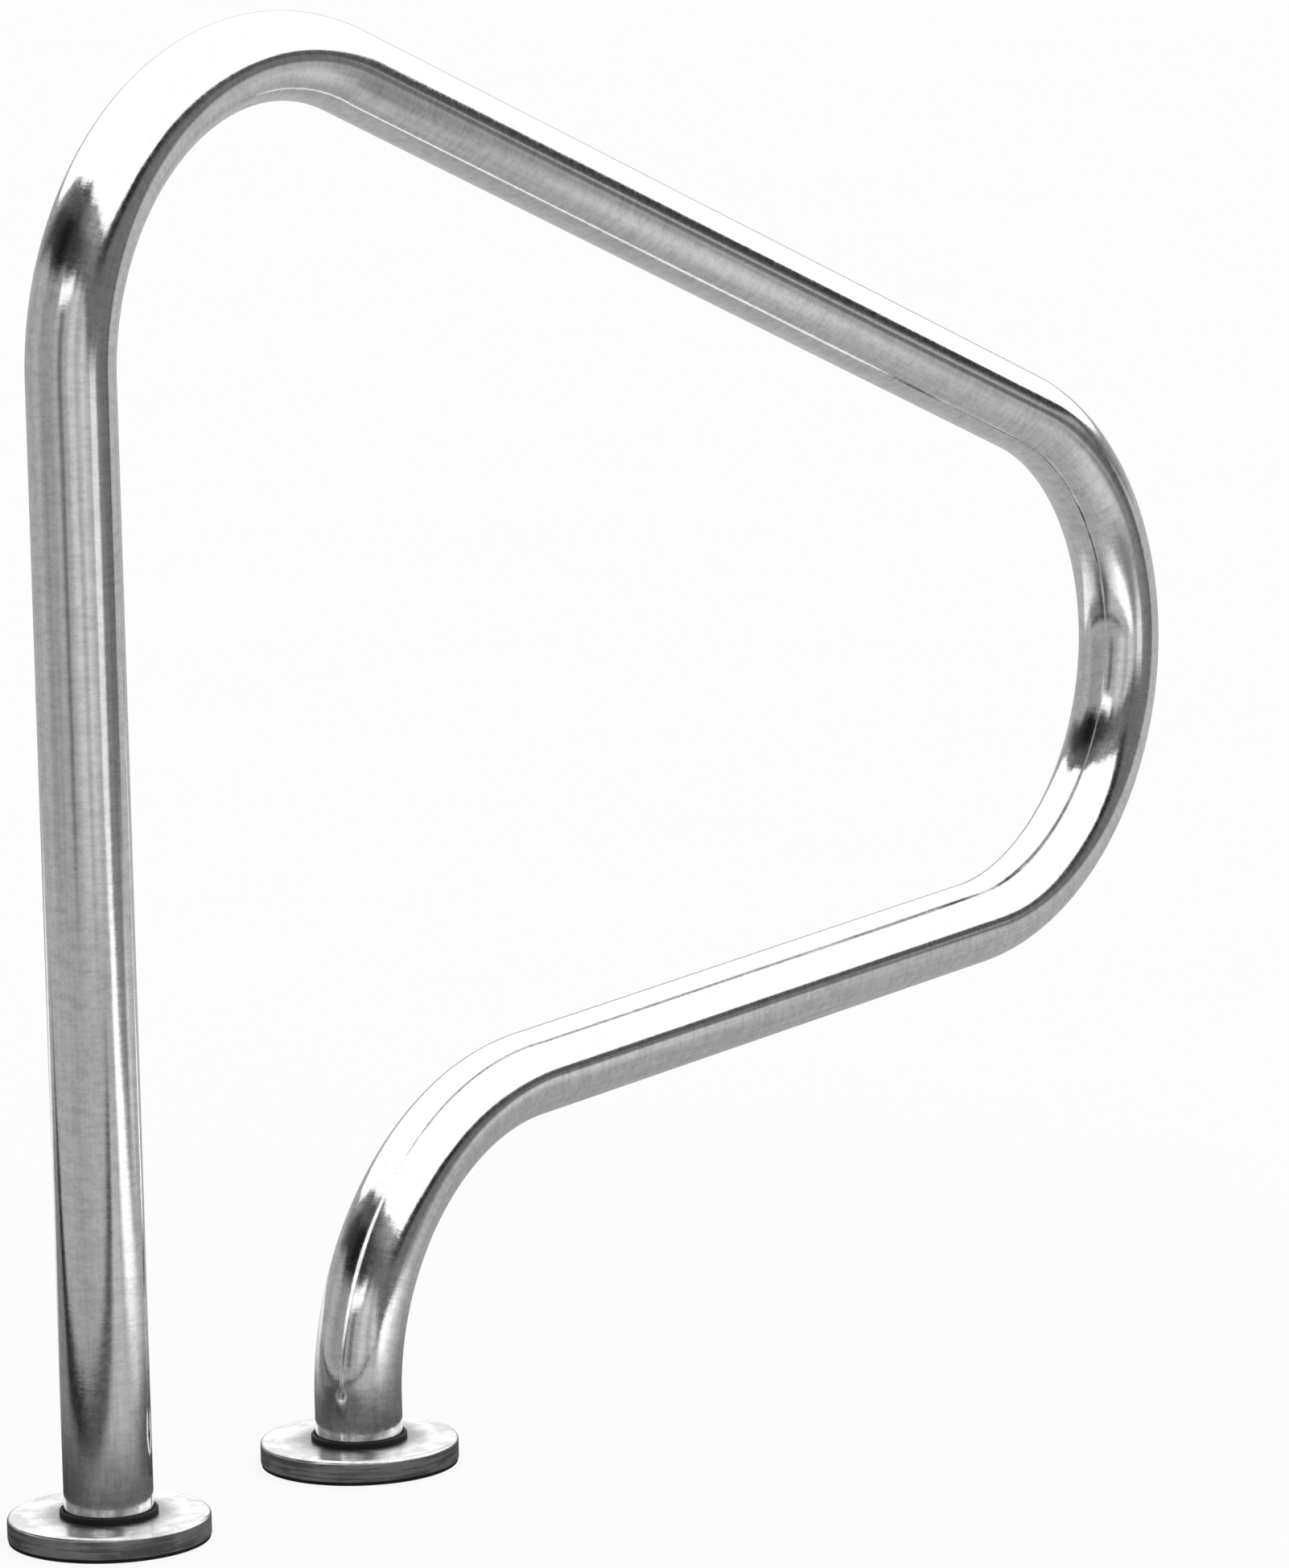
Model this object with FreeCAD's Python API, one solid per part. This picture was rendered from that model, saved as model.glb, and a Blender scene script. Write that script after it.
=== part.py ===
"""Deck-mounted swimming pool handrail: one bent stainless tube on two screwed-down feet.

Frame, in millimetres: the origin is on the deck surface at the centre of the long leg, +Z is up, and
+X runs along the deck from the long leg to the short one.  The tube's centreline lies in the plane Y = 0.

Each leg of the tube drops over a turned spigot that is screwed to a round base plate.  The plate sits on
a rubber gasket, is held to the deck by wedge anchors with washers and thin nuts, and is hidden by a loose
dished cover with a rubber ring in its hole.  Cover and ring slide up the leg to give access to the nuts.
"""

import FreeCAD
import Part
import math
import os

Vec = FreeCAD.Vector
UP = Vec(0, 0, 1)

# ---- rail tube ----
RAIL_HEIGHT = 805.0  # deck to the top of the tube
RAIL_REACH = 949.0  # outside of the long leg to the outside of the far bend
LEG_SPACING = 200.0  # centre to centre of the legs
TUBE_OD = 48.3
TUBE_WALL = 1.65
BEND_RADIUS = 157.0  # to the centreline, the same in all three bends
SHORT_LEG_BEND_Z = 36.0  # where the short leg stops being straight
RETURN_RISE_DEG = 3.0  # rise of the lower rail, away from the short leg

# ---- feet ----
GASKET_THICKNESS = 1.5
GASKET_RIM_INSET = 0.5  # the gasket's edge, inside the cover's
PLATE_COVER_GAP = 3.0  # radial, base plate inside the cover's skirt
PLATE_THICKNESS = 4.0
SPIGOT_HEIGHT = 27.5
SPIGOT_CLEARANCE = 0.15  # radial, spigot in tube
SPIGOT_RECESS = 1.0  # the spigot's seat in the base plate
SPIGOT_FLOOR = 15.0  # solid lower part of the spigot, which takes the threads
SPIGOT_BORE = 30.0
SPIGOT_CHAMFER = 2.0
SEAT_CLEARANCE = 0.1  # radial, spigot in its recess and screws in their holes

# ---- cover and its rubber ring ----
COVER_OD = 109.5
COVER_HEADROOM = 1.1  # between the anchors and the inside of the cover
COVER_WALL = 1.2
COVER_EDGE_RADIUS = 2.4
COVER_MIN_INNER_RADIUS = 0.3
COVER_REST_GAP = 0.3  # cover's rim above the gasket
RING_TUBE_CLEARANCE = 0.3  # radial
RING_WIDTH = 2.1  # radial width of the ring's lips
RING_NECK = 0.9  # radial width of the ring inside the cover's hole
RING_TOP_LIP = 2.9
RING_BOTTOM_LIP = 1.6
RING_EDGE_RADIUS = 0.8
RING_GROOVE_DEPTH_CLEARANCE = 0.3  # radial, cover's edge in the ring's groove
RING_GROOVE_WIDTH_CLEARANCE = 0.1  # on each side of the cover's edge

# ---- wedge anchors ----
ANCHOR_COUNT = 4
ANCHOR_EDGE = 3.8  # from the washer to the base plate's edge
ANCHOR_SHANK = 8.0
ANCHOR_THREAD = 7.2  # the M8 thread, made plain at its pitch diameter
ANCHOR_DEPTH = 58.0  # tip of the anchor below the deck
ANCHOR_ABOVE_NUT = 0.4
NUT_ACROSS_FLATS = 13.0
NUT_HEIGHT = 4.0
NUT_CHAMFER_DEG = 30.0
WASHER_OD = 15.5
WASHER_THICKNESS = 1.6
WEDGE_LENGTH = 6.0  # the anchor's tip, from the small end of its taper
WEDGE_TAPER = 4.0
NECK_LENGTH = 8.0
CLIP_THICKNESS = 0.8
CLIP_SLOT = 1.0  # width of the gap in the clip
CLIP_ON_TAPER = 1.0  # how far the clip reaches over the taper
CLIP_SUNK = 0.25  # clip below the anchor's surface, so that it enters the drilled hole
PLATE_HOLE_CLEARANCE = 0.4  # radial, anchor in base plate, gasket and washer

# ---- screws: thread diameter, head diameter, hexagon socket across flats ----
SPIGOT_SCREW_COUNT = 3
SPIGOT_SCREW_CIRCLE = 24.0
SPIGOT_THREAD = 6.0
SPIGOT_SCREW_HEAD = 11.3
SPIGOT_SCREW_SOCKET = 4.0
SPIGOT_SCREW_LENGTH = 14.0
LOCK_COUNT = 3
LOCK_THREAD = 6.0
LOCK_LENGTH = 9.0
LOCK_SOCKET = 3.0
LOCK_ABOVE_TUBE_END = 8.0
LOCK_RECESS = 0.4  # screw's end, below the tube's outer surface
SCREW_TIP_CHAMFER = 1.0
SOCKET_DEPTH_SHARE = 0.45  # hexagon socket depth, as a share of the thread diameter
HEAD_HALF_ANGLE_DEG = 45.0

CUT_PAST = 1.0  # how far a cutting shape runs past the face it cuts

TUBE_R = TUBE_OD / 2
TUBE_INNER_R = TUBE_R - TUBE_WALL
PLATE_OD = COVER_OD - 2 * (COVER_WALL + PLATE_COVER_GAP)
PLATE_BOTTOM_Z = GASKET_THICKNESS
PLATE_TOP_Z = PLATE_BOTTOM_Z + PLATE_THICKNESS
NUT_BOTTOM_Z = PLATE_TOP_Z + WASHER_THICKNESS
ANCHOR_TOP_Z = NUT_BOTTOM_Z + NUT_HEIGHT + ANCHOR_ABOVE_NUT
COVER_TOP_Z = ANCHOR_TOP_Z + COVER_HEADROOM + COVER_WALL
SPIGOT_BOTTOM_Z = PLATE_TOP_Z - SPIGOT_RECESS
SPIGOT_R = TUBE_INNER_R - SPIGOT_CLEARANCE
LOCK_Z = PLATE_TOP_Z + LOCK_ABOVE_TUBE_END
RING_INNER_R = TUBE_R + RING_TUBE_CLEARANCE
COVER_HOLE_R = RING_INNER_R + RING_NECK + RING_GROOVE_DEPTH_CLEARANCE
ANCHOR_CIRCLE = PLATE_OD - WASHER_OD - 2 * ANCHOR_EDGE
ANCHOR_R = ANCHOR_SHANK / 2
ANCHOR_THREAD_R = ANCHOR_THREAD / 2
NECK_R = ANCHOR_R - CLIP_THICKNESS - SEAT_CLEARANCE
TAPER_TOP_Z = WEDGE_LENGTH - ANCHOR_DEPTH
NECK_TOP_Z = TAPER_TOP_Z + NECK_LENGTH
LEGS = {"long_leg": 0.0, "short_leg": LEG_SPACING}


def cylinder(radius, height, z, x=0.0, y=0.0):
    return Part.makeCylinder(radius, height, Vec(x, y, z), UP)


def turned(outline):
    """A solid of revolution about Z from the edges of a closed outline in the plane Y = 0."""
    return Part.Face(Part.Wire(outline)).revolve(Vec(0, 0, 0), UP, 360)


def lines(points):
    """Edges that join (radius, z) points in turn, without closing the outline."""
    corners = [Vec(radius, 0, z) for radius, z in points]
    return [Part.makeLine(a, b) for a, b in zip(corners, corners[1:])]


def rounded(start, end, centre, radius):
    """The arc of a rounded corner from start to end, all (radius, z), bulging from its centre."""
    middle = Vec((start[0] + end[0]) / 2 - centre[0], 0, (start[1] + end[1]) / 2 - centre[1])
    middle.normalize()
    through = Vec(centre[0], 0, centre[1]) + middle * radius
    return Part.Arc(Vec(start[0], 0, start[1]), through, Vec(end[0], 0, end[1])).toShape()


def hexagon_bar(across_flats, height, z):
    corner_r = across_flats / math.sqrt(3)
    corners = [
        Vec(corner_r * math.cos(math.radians(60 * i)), corner_r * math.sin(math.radians(60 * i)), z)
        for i in range(7)
    ]
    return Part.Face(Part.makePolygon(corners)).extrude(UP * height)


def around(count, first_deg=0.0):
    """The angles, in degrees, of pieces spaced evenly round a leg."""
    return [first_deg + 360.0 * i / count for i in range(count)]


LOCK_ANGLES = around(LOCK_COUNT, 90.0)


def places(circle, angles):
    turns = [math.radians(angle) for angle in angles]
    return [Vec(math.cos(turn), math.sin(turn), 0) * (circle / 2) for turn in turns]


ANCHOR_PLACES = places(ANCHOR_CIRCLE, around(ANCHOR_COUNT, 45.0))
SPIGOT_SCREW_PLACES = places(SPIGOT_SCREW_CIRCLE, around(SPIGOT_SCREW_COUNT, 30.0))


def radial_bar(radius, inner_end, outer_end, angle_deg):
    """A round bar that points straight out from the leg's axis at the lock screws' height."""
    bar = Part.makeCylinder(radius, outer_end - inner_end, Vec(inner_end, 0, LOCK_Z), Vec(1, 0, 0))
    bar.rotate(Vec(0, 0, 0), UP, angle_deg)
    return bar


def copies_at(shape, spots):
    made = []
    for place in spots:
        copy = shape.copy()
        copy.translate(place)
        made.append(copy)
    return made


def rail_path():
    """The tube's centreline from the long leg's end to the short leg's: straights and tangent arcs.

    Both rails are straight.  The upper one's slope is the angle that brings the lower one back to the
    short leg at the right height.
    """
    radius = BEND_RADIUS
    rise = math.radians(RETURN_RISE_DEG)
    top_bend = Vec(radius, 0, RAIL_HEIGHT - TUBE_R - radius)
    far_bend_x = RAIL_REACH - TUBE_OD - radius
    lower_length = (
        far_bend_x + 2 * radius * math.sin(rise) - radius - LEG_SPACING
    ) / math.cos(rise)
    far_bend_z = SHORT_LEG_BEND_Z + 2 * radius * math.cos(rise) + lower_length * math.sin(rise)
    far_bend = Vec(far_bend_x, 0, far_bend_z)
    slope = math.atan2(top_bend.z - far_bend.z, far_bend.x - top_bend.x)
    low_bend = Vec(LEG_SPACING + radius, 0, SHORT_LEG_BEND_Z)

    def on(bend, angle_deg):
        angle = math.radians(angle_deg)
        return bend + Vec(math.cos(angle), 0, math.sin(angle)) * radius

    def bend_arc(bend, start_deg, end_deg):
        middle_deg = (start_deg + end_deg) / 2
        return Part.Arc(on(bend, start_deg), on(bend, middle_deg), on(bend, end_deg)).toShape()

    upper_deg = 90 - math.degrees(slope)
    lower_deg = -90 + RETURN_RISE_DEG
    return Part.Wire(
        [
            Part.makeLine(Vec(0, 0, PLATE_TOP_Z), on(top_bend, 180)),
            bend_arc(top_bend, 180, upper_deg),
            Part.makeLine(on(top_bend, upper_deg), on(far_bend, upper_deg)),
            bend_arc(far_bend, upper_deg, lower_deg),
            Part.makeLine(on(far_bend, lower_deg), on(low_bend, 180 + lower_deg)),
            bend_arc(low_bend, 180 + lower_deg, 180),
            Part.makeLine(on(low_bend, 180), Vec(LEG_SPACING, 0, PLATE_TOP_Z)),
        ]
    )


def rail_tube():
    path = rail_path()

    def swept(radius):
        ring = Part.Wire(Part.makeCircle(radius, Vec(0, 0, PLATE_TOP_Z), UP))
        return path.makePipeShell([ring], True, True)

    tube = swept(TUBE_R).cut(swept(TUBE_INNER_R))
    hole_r = LOCK_THREAD / 2 + SEAT_CLEARANCE
    for leg_x in LEGS.values():
        for angle in LOCK_ANGLES:
            hole = radial_bar(hole_r, TUBE_INNER_R - TUBE_WALL / 2, TUBE_R + TUBE_WALL / 2, angle)
            hole.translate(Vec(leg_x, 0, 0))
            tube = tube.cut(hole)
    return tube


def countersunk_screw(thread, head, length, socket):
    """A flat-headed screw that points up, with the middle of its head's face at the origin."""
    thread_r = thread / 2
    head_r = head / 2 - SEAT_CLEARANCE
    cone = (head_r - thread_r) / math.tan(math.radians(HEAD_HALF_ANGLE_DEG))
    outline = [
        (0, 0),
        (head_r, 0),
        (thread_r, cone),
        (thread_r, length - SCREW_TIP_CHAMFER),
        (thread_r - SCREW_TIP_CHAMFER, length),
        (0, length),
        (0, 0),
    ]
    depth = thread * SOCKET_DEPTH_SHARE
    return turned(lines(outline)).cut(hexagon_bar(socket, depth, 0))


def countersunk_hole(thread, head, depth):
    """The hole for countersunk_screw, going up from the origin."""
    hole_r = thread / 2 + SEAT_CLEARANCE
    head_r = head / 2
    cone = (head_r - hole_r) / math.tan(math.radians(HEAD_HALF_ANGLE_DEG))
    outline = [
        (0, -CUT_PAST),
        (head_r, -CUT_PAST),
        (head_r, 0),
        (hole_r, cone),
        (hole_r, depth + CUT_PAST),
        (0, depth + CUT_PAST),
        (0, -CUT_PAST),
    ]
    return turned(lines(outline))


def base_plate():
    plate = cylinder(PLATE_OD / 2, PLATE_THICKNESS, PLATE_BOTTOM_Z)
    plate = plate.cut(cylinder(SPIGOT_R + SEAT_CLEARANCE, SPIGOT_RECESS + CUT_PAST, SPIGOT_BOTTOM_Z))
    anchor_hole = cylinder(ANCHOR_R + PLATE_HOLE_CLEARANCE, PLATE_THICKNESS, PLATE_BOTTOM_Z)
    screw_hole = countersunk_hole(SPIGOT_THREAD, SPIGOT_SCREW_HEAD, PLATE_THICKNESS)
    screw_hole.translate(UP * PLATE_BOTTOM_Z)
    holes = copies_at(anchor_hole, ANCHOR_PLACES) + copies_at(screw_hole, SPIGOT_SCREW_PLACES)
    for hole in holes:
        plate = plate.cut(hole)
    return plate


def deck_gasket():
    gasket = cylinder(COVER_OD / 2 - GASKET_RIM_INSET, GASKET_THICKNESS, 0)
    for hole in copies_at(cylinder(ANCHOR_R + PLATE_HOLE_CLEARANCE, GASKET_THICKNESS, 0), ANCHOR_PLACES):
        gasket = gasket.cut(hole)
    return gasket


def spigot():
    top_z = SPIGOT_BOTTOM_Z + SPIGOT_HEIGHT
    floor_z = SPIGOT_BOTTOM_Z + SPIGOT_FLOOR
    outline = [
        (0, SPIGOT_BOTTOM_Z),
        (SPIGOT_R, SPIGOT_BOTTOM_Z),
        (SPIGOT_R, top_z - SPIGOT_CHAMFER),
        (SPIGOT_R - SPIGOT_CHAMFER, top_z),
        (SPIGOT_BORE / 2, top_z),
        (SPIGOT_BORE / 2, floor_z),
        (0, floor_z),
        (0, SPIGOT_BOTTOM_Z),
    ]
    body = turned(lines(outline))
    screw_hole = cylinder(SPIGOT_THREAD / 2 + SEAT_CLEARANCE, SPIGOT_FLOOR, SPIGOT_BOTTOM_Z)
    lock_hole_r = LOCK_THREAD / 2 + SEAT_CLEARANCE
    inner_end = TUBE_R - LOCK_RECESS - LOCK_LENGTH - SEAT_CLEARANCE
    lock_holes = [radial_bar(lock_hole_r, inner_end, TUBE_R, angle) for angle in LOCK_ANGLES]
    for hole in copies_at(screw_hole, SPIGOT_SCREW_PLACES) + lock_holes:
        body = body.cut(hole)
    return body


def spigot_screws():
    """Hold the spigot to the base plate from below, with their heads flush with its underside."""
    screw = countersunk_screw(
        SPIGOT_THREAD, SPIGOT_SCREW_HEAD, SPIGOT_SCREW_LENGTH, SPIGOT_SCREW_SOCKET
    )
    screw.translate(UP * PLATE_BOTTOM_Z)
    return Part.makeCompound(copies_at(screw, SPIGOT_SCREW_PLACES))


def lock_screws():
    """Grub screws through the tube's wall into the spigot, hidden by the cover's rubber ring."""
    made = []
    outer_end = TUBE_R - LOCK_RECESS
    for angle in LOCK_ANGLES:
        screw = Part.makeCylinder(LOCK_THREAD / 2, LOCK_LENGTH, Vec(0, 0, -LOCK_LENGTH), UP)
        depth = LOCK_THREAD * SOCKET_DEPTH_SHARE
        screw = screw.cut(hexagon_bar(LOCK_SOCKET, depth, -depth))
        screw.rotate(Vec(0, 0, 0), Vec(0, 1, 0), 90)
        screw.translate(Vec(outer_end, 0, LOCK_Z))
        screw.rotate(Vec(0, 0, 0), UP, angle)
        made.append(screw)
    return Part.makeCompound(made)


def anchor_studs():
    """Wedge anchors: threaded above the deck, with a neck for the clip and a taper that spreads it."""
    tip = -ANCHOR_DEPTH
    outline = [
        (0, ANCHOR_TOP_Z),
        (ANCHOR_THREAD_R - SCREW_TIP_CHAMFER / 2, ANCHOR_TOP_Z),
        (ANCHOR_THREAD_R, ANCHOR_TOP_Z - SCREW_TIP_CHAMFER / 2),
        (ANCHOR_THREAD_R, 0),
        (ANCHOR_R, 0),
        (ANCHOR_R, NECK_TOP_Z),
        (NECK_R, NECK_TOP_Z),
        (NECK_R, TAPER_TOP_Z),
        (ANCHOR_R, TAPER_TOP_Z - WEDGE_TAPER),
        (ANCHOR_R, tip + SCREW_TIP_CHAMFER),
        (ANCHOR_R - SCREW_TIP_CHAMFER, tip),
        (0, tip),
        (0, ANCHOR_TOP_Z),
    ]
    return Part.makeCompound(copies_at(turned(lines(outline)), ANCHOR_PLACES))


def anchor_clips():
    """Split clips round the anchors' necks; each tip's taper spreads its clip in the drilled hole."""
    inner_r = NECK_R + SEAT_CLEARANCE
    outer_r = ANCHOR_R - CLIP_SUNK
    top = NECK_TOP_Z - SEAT_CLEARANCE
    bottom = TAPER_TOP_Z - CLIP_ON_TAPER
    spread = (ANCHOR_R - NECK_R) * CLIP_ON_TAPER / WEDGE_TAPER
    outline = [
        (inner_r, top),
        (outer_r, top),
        (outer_r, bottom),
        (inner_r + spread, bottom),
        (inner_r, TAPER_TOP_Z),
        (inner_r, top),
    ]
    slot = Part.makeBox(ANCHOR_R + CUT_PAST, CLIP_SLOT, top - bottom, Vec(0, -CLIP_SLOT / 2, bottom))
    clip = turned(lines(outline)).cut(slot)
    return Part.makeCompound(copies_at(clip, ANCHOR_PLACES))


def anchor_washers():
    washer = cylinder(WASHER_OD / 2, WASHER_THICKNESS, PLATE_TOP_Z)
    washer = washer.cut(cylinder(ANCHOR_R + PLATE_HOLE_CLEARANCE, WASHER_THICKNESS, PLATE_TOP_Z))
    return Part.makeCompound(copies_at(washer, ANCHOR_PLACES))


def anchor_nuts():
    """Thin hexagon nuts with both faces' corners turned off."""
    flat_r = NUT_ACROSS_FLATS / 2
    corner_r = NUT_ACROSS_FLATS / math.sqrt(3)
    chamfer = (corner_r - flat_r) * math.tan(math.radians(NUT_CHAMFER_DEG))
    top = NUT_BOTTOM_Z + NUT_HEIGHT
    outline = [
        (0, NUT_BOTTOM_Z),
        (flat_r, NUT_BOTTOM_Z),
        (corner_r, NUT_BOTTOM_Z + chamfer),
        (corner_r, top - chamfer),
        (flat_r, top),
        (0, top),
        (0, NUT_BOTTOM_Z),
    ]
    nut = hexagon_bar(NUT_ACROSS_FLATS, NUT_HEIGHT, NUT_BOTTOM_Z).common(turned(lines(outline)))
    nut = nut.cut(cylinder(ANCHOR_THREAD_R + SEAT_CLEARANCE, NUT_HEIGHT, NUT_BOTTOM_Z))
    return Part.makeCompound(copies_at(nut, ANCHOR_PLACES))


def cover():
    """A dished pressing: flat top, rounded edge and a straight skirt down to the gasket."""
    outer_r = COVER_OD / 2
    inner_r = outer_r - COVER_WALL
    rim_z = GASKET_THICKNESS + COVER_REST_GAP
    inside_z = COVER_TOP_Z - COVER_WALL
    outer_edge = COVER_EDGE_RADIUS
    inner_edge = max(outer_edge - COVER_WALL, COVER_MIN_INNER_RADIUS)
    corner_r = outer_r - outer_edge
    corner_z = COVER_TOP_Z - outer_edge
    inner_corner_r = inner_r - inner_edge
    inner_corner_z = inside_z - inner_edge
    top = [(COVER_HOLE_R, inside_z), (COVER_HOLE_R, COVER_TOP_Z), (corner_r, COVER_TOP_Z)]
    skirt = [(outer_r, corner_z), (outer_r, rim_z), (inner_r, rim_z), (inner_r, inner_corner_z)]
    underside = [(inner_corner_r, inside_z), (COVER_HOLE_R, inside_z)]
    outside_arc = rounded(top[-1], skirt[0], (corner_r, corner_z), outer_edge)
    inside_arc = rounded(skirt[-1], underside[0], (inner_corner_r, inner_corner_z), inner_edge)
    return turned(lines(top) + [outside_arc] + lines(skirt) + [inside_arc] + lines(underside))


def cover_seal():
    """A grooved rubber ring: its neck fills the cover's hole and its lips hold the cover's edge."""
    lip_r = RING_INNER_R + RING_WIDTH
    neck_r = RING_INNER_R + RING_NECK
    groove_top = COVER_TOP_Z + RING_GROOVE_WIDTH_CLEARANCE
    groove_bottom = COVER_TOP_Z - COVER_WALL - RING_GROOVE_WIDTH_CLEARANCE
    top = groove_top + RING_TOP_LIP
    bottom = groove_bottom - RING_BOTTOM_LIP
    edge = RING_EDGE_RADIUS
    bore = [(RING_INNER_R, bottom), (RING_INNER_R, top - edge)]
    crown = [(RING_INNER_R + edge, top), (lip_r - edge, top)]
    outside = [
        (lip_r, top - edge),
        (lip_r, groove_top),
        (neck_r, groove_top),
        (neck_r, groove_bottom),
        (lip_r, groove_bottom),
        (lip_r, bottom),
        (RING_INNER_R, bottom),
    ]
    inner_arc = rounded(bore[-1], crown[0], (RING_INNER_R + edge, top - edge), edge)
    outer_arc = rounded(crown[-1], outside[0], (lip_r - edge, top - edge), edge)
    return turned(lines(bore) + [inner_arc] + lines(crown) + [outer_arc] + lines(outside))


FOOT_PIECES = {
    "base_plate": base_plate,
    "deck_gasket": deck_gasket,
    "spigot": spigot,
    "spigot_screws": spigot_screws,
    "lock_screws": lock_screws,
    "anchor_studs": anchor_studs,
    "anchor_clips": anchor_clips,
    "anchor_washers": anchor_washers,
    "anchor_nuts": anchor_nuts,
    "cover": cover,
    "cover_seal": cover_seal,
}


def main():
    os.makedirs("parts", exist_ok=True)
    rail_tube().exportStep("parts/rail_tube.step")
    for leg, leg_x in LEGS.items():
        for piece, make in FOOT_PIECES.items():
            shape = make()
            shape.translate(Vec(leg_x, 0, 0))
            shape.exportStep(f"parts/{leg}_{piece}.step")


main()
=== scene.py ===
"""Dresses the pool handrail: a polished bent tube, two pressed covers, rubber rings and their fixings.

Everything is in metres, in the frame's own axes: the long leg stands at the origin, +Z is up, and +X runs
from the long leg to the short one.
"""

import math

import bmesh
import bpy
from mathutils import Matrix, Vector


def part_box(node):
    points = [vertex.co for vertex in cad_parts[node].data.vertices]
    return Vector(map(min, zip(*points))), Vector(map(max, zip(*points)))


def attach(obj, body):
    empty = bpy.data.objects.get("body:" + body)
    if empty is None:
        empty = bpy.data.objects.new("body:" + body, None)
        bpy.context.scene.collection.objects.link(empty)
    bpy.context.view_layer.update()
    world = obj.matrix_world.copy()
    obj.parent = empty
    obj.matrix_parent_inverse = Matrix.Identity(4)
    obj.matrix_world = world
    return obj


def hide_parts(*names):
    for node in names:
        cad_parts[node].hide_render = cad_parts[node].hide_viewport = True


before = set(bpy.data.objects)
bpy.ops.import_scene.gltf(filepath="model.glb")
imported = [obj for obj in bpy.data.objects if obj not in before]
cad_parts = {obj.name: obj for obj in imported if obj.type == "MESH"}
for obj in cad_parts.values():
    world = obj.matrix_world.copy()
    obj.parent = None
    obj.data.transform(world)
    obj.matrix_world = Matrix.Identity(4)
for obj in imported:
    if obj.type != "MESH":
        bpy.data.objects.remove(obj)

bl_info = {
    "name": "Pool handrail",
    "version": (1, 0, 0),
    "blender": (4, 5, 0),
    "location": "View3D > Sidebar > Handrail",
    "description": "Polished bent tube with round covers and rubber rings on the packed handrail",
    "category": "Object",
}

MM = 0.001
LEGS = ("long_leg", "short_leg")

LOCK_SCREW_TURNS = (90, 210, 330)  # degrees round each leg
LOCK_HOLE_SIDES = 32
LOOP_ABOVE_HOLES = 1.5  # in hole diameters above the holes' middle
TUBE_SHARP_ANGLE = math.radians(35)

COVER_PLAY = 0.3 * MM  # between the cover's hole and the ring's neck
COVER_LIP = 0.25 * MM  # the small chamfers along the cover's edges
HOLE_BORDER = 3 * MM  # the width of the flat border round the cover's hole
GROOVE_PLAY = 0.1 * MM  # between the ring's groove and the cover's sheet
COVER_EDGE_STEPS = 14
SMALL_EDGE_STEPS = 8
TURNED_SHARP_ANGLE = math.radians(28)
GRAIN_OUTWARDS = 20.0  # how fast the brush rings change outwards on a turned piece, for each metre
GRAIN_ROUND = 0.4  # how fast they change round it

METAL = {"Metallic": 1.0}
DULL_RUBBER = {"Specular IOR Level": 0.3}

FIXING_FINISH = {
    "base_plate": "turned_stainless",
    "spigot": "turned_stainless",
    "spigot_screws": "fastener_steel",
    "lock_screws": "fastener_steel",
    "anchor_studs": "fastener_steel",
    "anchor_clips": "fastener_steel",
    "anchor_washers": "fastener_steel",
    "anchor_nuts": "fastener_steel",
    "deck_gasket": "moulded_rubber",
}

# The surroundings that the metal shows, as (degrees, value) stops round the compass.
SKYLINE_HEIGHT = (  # degrees above the horizon
    (-180, 55), (-150, 47), (-120, 34), (-105, 24), (-88, 16), (-60, 13), (-42, 8), (-24, 11), (-12, 7),
    (0, 6), (30, 6), (60, 8), (75, 12), (90, 19), (105, 31), (120, 43), (150, 51), (180, 55),
)
BAND_DEPTH = (  # degrees from the skyline down to the far ground
    (-180, 28), (-150, 26), (-120, 20), (-100, 20), (-60, 20), (-35, 20), (-18, 10), (30, 4), (60, 6),
    (90, 10), (120, 22), (150, 28), (180, 28),
)
UPPER_SHADE = (  # brightness of the band's upper part
    (-180, 0.08), (-150, 0.18), (-120, 0.28), (-100, 0.12), (-85, 0.04), (-64, 0.02), (-42, 0.09),
    (-26, 0.03), (-12, 0.24), (30, 0.40), (60, 0.40), (90, 0.30), (110, 0.22), (140, 0.10), (180, 0.08),
)
LOWER_SHADE = (  # brightness of the band's lower part
    (-180, 0.03), (-150, 0.07), (-120, 0.15), (-95, 0.15), (-70, 0.15), (-42, 0.16), (-26, 0.09),
    (-12, 0.26), (30, 0.40), (60, 0.40), (90, 0.20), (112, 0.06), (135, 0.03), (160, 0.01), (180, 0.03),
)
GROUND_SHADE = (  # brightness of the far ground
    (-180, 0.42), (-170, 0.34), (-164, 0.18), (-157, 0.36), (-146, 0.46), (-132, 0.62), (-122, 0.44),
    (-108, 0.62), (-92, 0.44), (-84, 0.90), (-76, 0.90), (-68, 0.26), (-54, 0.22), (-42, 0.42),
    (-30, 0.48), (-20, 0.48), (0, 0.48), (44, 0.48), (80, 0.42), (104, 0.39), (124, 0.43), (148, 0.31),
    (162, 0.33), (180, 0.39),
)
HEIGHT_SCALE, DEPTH_SCALE, SHADE_SCALE = 90.0, 45.0, 1.0  # the top of each kind of curve

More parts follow.
